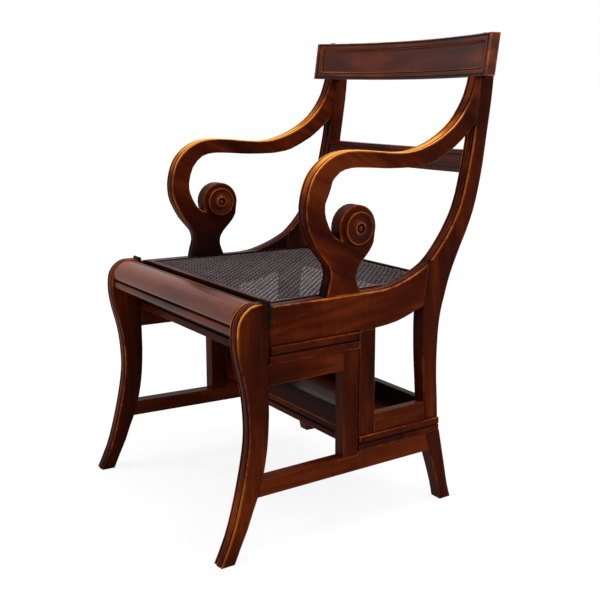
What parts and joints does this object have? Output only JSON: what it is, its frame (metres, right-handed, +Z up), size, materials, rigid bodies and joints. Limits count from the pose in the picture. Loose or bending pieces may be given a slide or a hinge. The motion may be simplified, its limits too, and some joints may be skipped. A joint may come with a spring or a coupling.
{
  "type": "library step chair",
  "caption": "Mahogany scroll-arm library chair with a caned seat whose hinged upper part tips forward to form library steps.",
  "frame": {"origin": "on the floor under the middle of the chair's footprint", "axes": "+Z up; -Y is the front, where the sitter's knees are; +X is the sitter's left"},
  "size_m": [0.5674, 0.6246, 0.9027],
  "materials": {
    "mahogany": "dark reddish brown, polished, worn lighter on the edges",
    "dark_mahogany": "nearly black brown, polished",
    "cane": "woven cane, dark brown, satin",
    "aged_bronze": "dark aged bronze"
  },
  "bodies": {
    "base": {"back_foot_left": "mahogany", "back_foot_right": "mahogany", "fixed_post_left": "mahogany", "fixed_post_right": "mahogany", "fixed_top_rail_left": "mahogany", "fixed_top_rail_right": "mahogany", "front_bead_moulding": "mahogany", "front_leg_left": "mahogany", "front_leg_right": "mahogany", "front_roll_rail": "mahogany", "hinge_leaf_left_fixed": "aged_bronze", "hinge_leaf_right_fixed": "aged_bronze", "hinge_pin_left": "aged_bronze", "hinge_pin_right": "aged_bronze", "hinge_screw_left_fixed_1": "aged_bronze", "hinge_screw_left_fixed_2": "aged_bronze", "hinge_screw_right_fixed_1": "aged_bronze", "hinge_screw_right_fixed_2": "aged_bronze", "low_tread": "mahogany", "middle_tread": "mahogany", "sill_rail_left": "mahogany", "sill_rail_right": "mahogany"},
    "swing_section": {"arm_left": "mahogany", "arm_right": "mahogany", "back_post_left": "mahogany", "back_post_right": "mahogany", "cane_ledge_left": "dark_mahogany", "cane_ledge_right": "dark_mahogany", "cane_panel": "cane", "cane_spline": "dark_mahogany", "crest_bead": "mahogany", "crest_glide_left": "dark_mahogany", "crest_glide_right": "dark_mahogany", "crest_rail": "mahogany", "hinge_leaf_left_swing": "aged_bronze", "hinge_leaf_right_swing": "aged_bronze", "hinge_screw_left_swing_1": "aged_bronze", "hinge_screw_left_swing_2": "aged_bronze", "hinge_screw_right_swing_1": "aged_bronze", "hinge_screw_right_swing_2": "aged_bronze", "middle_back_rail": "mahogany", "roundel_left_inner": "mahogany", "roundel_left_outer": "mahogany", "roundel_right_inner": "mahogany", "roundel_right_outer": "mahogany", "seat_back_rail": "mahogany", "seat_front_rail": "mahogany", "side_seat_rail_left": "mahogany", "side_seat_rail_right": "mahogany", "swing_post_left": "mahogany", "swing_post_right": "mahogany", "third_tread": "mahogany", "top_tread": "mahogany", "tray_back_rail": "mahogany", "tray_front_rail": "mahogany", "tray_side_rail_left": "mahogany", "tray_side_rail_right": "mahogany"}
  },
  "joints": [
    {"name": "seat_section_hinge", "type": "hinge", "parent": "base", "child": "swing_section", "pos_m": [0, -0.21165, 0.4516], "axis": [1, 0, 0], "range_deg": [0, 180]}
  ]
}
